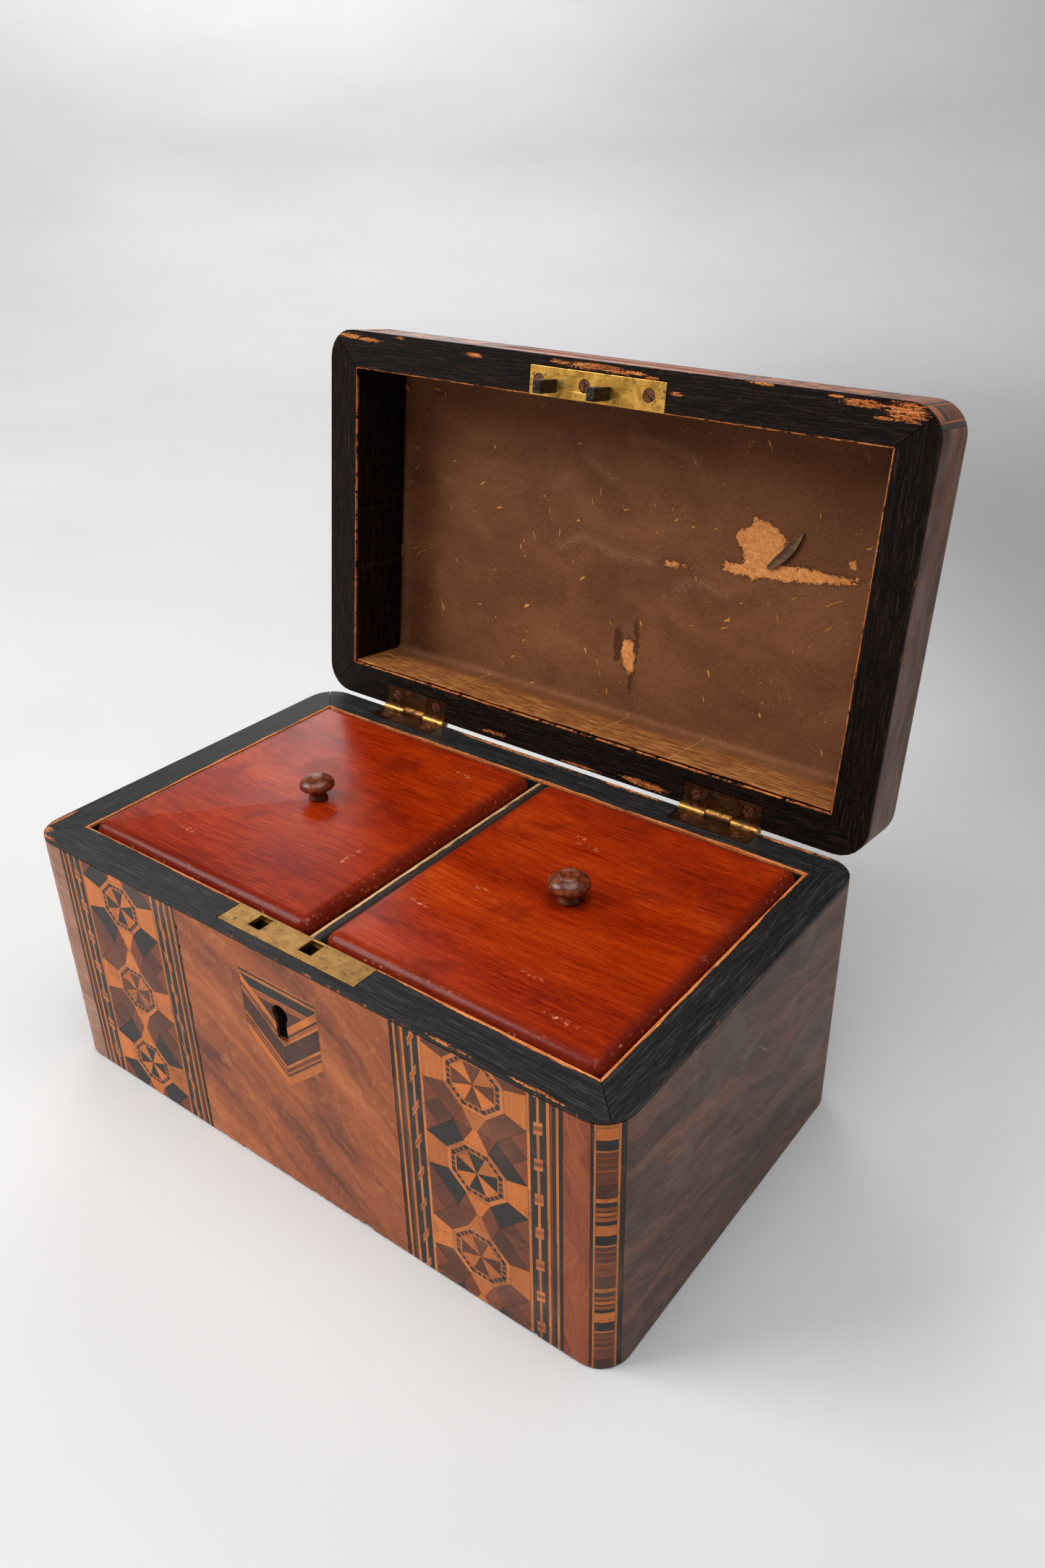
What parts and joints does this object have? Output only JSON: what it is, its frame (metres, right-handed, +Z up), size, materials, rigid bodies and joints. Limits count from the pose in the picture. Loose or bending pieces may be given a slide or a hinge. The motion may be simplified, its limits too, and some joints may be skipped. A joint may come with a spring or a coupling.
{
  "type": "tea caddy",
  "caption": "Rectangular inlaid wooden tea caddy standing open, its hinged lid over two compartments with knobbed inner lids and a brass lock plate.",
  "frame": {"origin": "middle of the base's footprint, on the table", "axes": "+Z up, +X to the right of someone facing the keyhole, +Y to the back, where the hinges are"},
  "size_m": [0.225, 0.181, 0.2223],
  "materials": {
    "ebonised_wood": "black stained hardwood, worn to orange along its edges",
    "walnut": "figured walnut veneer, old varnish",
    "dark_walnut": "dark walnut veneer, dull old varnish with scratches",
    "satinwood": "marquetry in satinwood, rosewood and ebony",
    "rosewood": "dark rosewood, polished",
    "mahogany": "red mahogany, polished, scuffed",
    "pine": "bare softwood",
    "foil_lining": "dull tin foil over thin boards",
    "lining_paper": "dark brown paper, torn and creased",
    "brass": "tarnished brass",
    "steel": "dark oiled steel",
    "rusty_steel": "rusty steel screw heads"
  },
  "bodies": {
    "base": {"base_wall_front": "ebonised_wood", "base_wall_back": "ebonised_wood", "base_wall_left": "ebonised_wood", "base_wall_right": "ebonised_wood", "bottom_board": "pine", "divider": "ebonised_wood", "liner_left": "foil_lining", "liner_right": "foil_lining", "veneer_front": "walnut", "veneer_front_left": "walnut", "veneer_front_right": "walnut", "veneer_left": "dark_walnut", "veneer_right": "dark_walnut", "veneer_back": "dark_walnut", "marquetry_band_left": "satinwood", "marquetry_band_right": "satinwood", "corner_banding_left": "satinwood", "corner_banding_right": "satinwood", "shield_inlay": "rosewood", "lock_plate": "brass", "lock_case": "brass", "base_hinge_leaf_left": "brass", "base_hinge_leaf_right": "brass", "base_hinge_screw_left_1": "rusty_steel", "base_hinge_screw_left_2": "rusty_steel", "base_hinge_screw_right_1": "rusty_steel", "base_hinge_screw_right_2": "rusty_steel", "hinge_pin_left": "steel", "hinge_pin_right": "steel"},
    "lid": {"lid_wall_front": "ebonised_wood", "lid_wall_back": "ebonised_wood", "lid_wall_left": "ebonised_wood", "lid_wall_right": "ebonised_wood", "lid_top_board": "pine", "lid_veneer_front": "walnut", "lid_veneer_left": "dark_walnut", "lid_veneer_right": "dark_walnut", "lid_veneer_back": "dark_walnut", "lid_veneer_top": "walnut", "lid_lining": "lining_paper", "lid_hinge_leaf_left": "brass", "lid_hinge_leaf_right": "brass", "lid_hinge_screw_left_1": "rusty_steel", "lid_hinge_screw_left_2": "rusty_steel", "lid_hinge_screw_right_1": "rusty_steel", "lid_hinge_screw_right_2": "rusty_steel", "link_plate": "brass", "link_plate_screw_1": "rusty_steel", "link_plate_screw_2": "rusty_steel", "link_plate_screw_3": "rusty_steel", "link_hook_left": "steel", "link_hook_right": "steel"},
    "inner_lid_left": {"inner_lid_left": "mahogany", "knob_left": "rosewood"},
    "inner_lid_right": {"inner_lid_right": "mahogany", "knob_right": "rosewood"},
    "lock_bolt": {"lock_bolt": "steel"},
    "lock_tumbler": {"lock_tumbler": "steel"}
  },
  "joints": [
    {"name": "lid_hinge", "type": "hinge", "parent": "base", "child": "lid", "pos_m": [0, 0.0678, 0.08865], "axis": [-1, 0, 0], "range_deg": [-97.5, 0]},
    {"name": "inner_lid_left_lift", "type": "slide", "parent": "base", "child": "inner_lid_left", "axis": [0, 0, 1], "range_m": [0, 0.06]},
    {"name": "inner_lid_right_lift", "type": "slide", "parent": "base", "child": "inner_lid_right", "axis": [0, 0, 1], "range_m": [0, 0.06]},
    {"name": "lock_bolt_slide", "type": "slide", "parent": "base", "child": "lock_bolt", "axis": [1, 0, 0], "range_m": [0, 0.003]},
    {"name": "lock_tumbler_pivot", "type": "hinge", "parent": "base", "child": "lock_tumbler", "pos_m": [0.018, -0.058, 0.0795], "axis": [0, 1, 0], "range_deg": [0, 8], "stiffness_Nm_per_rad": 0.002}
  ]
}
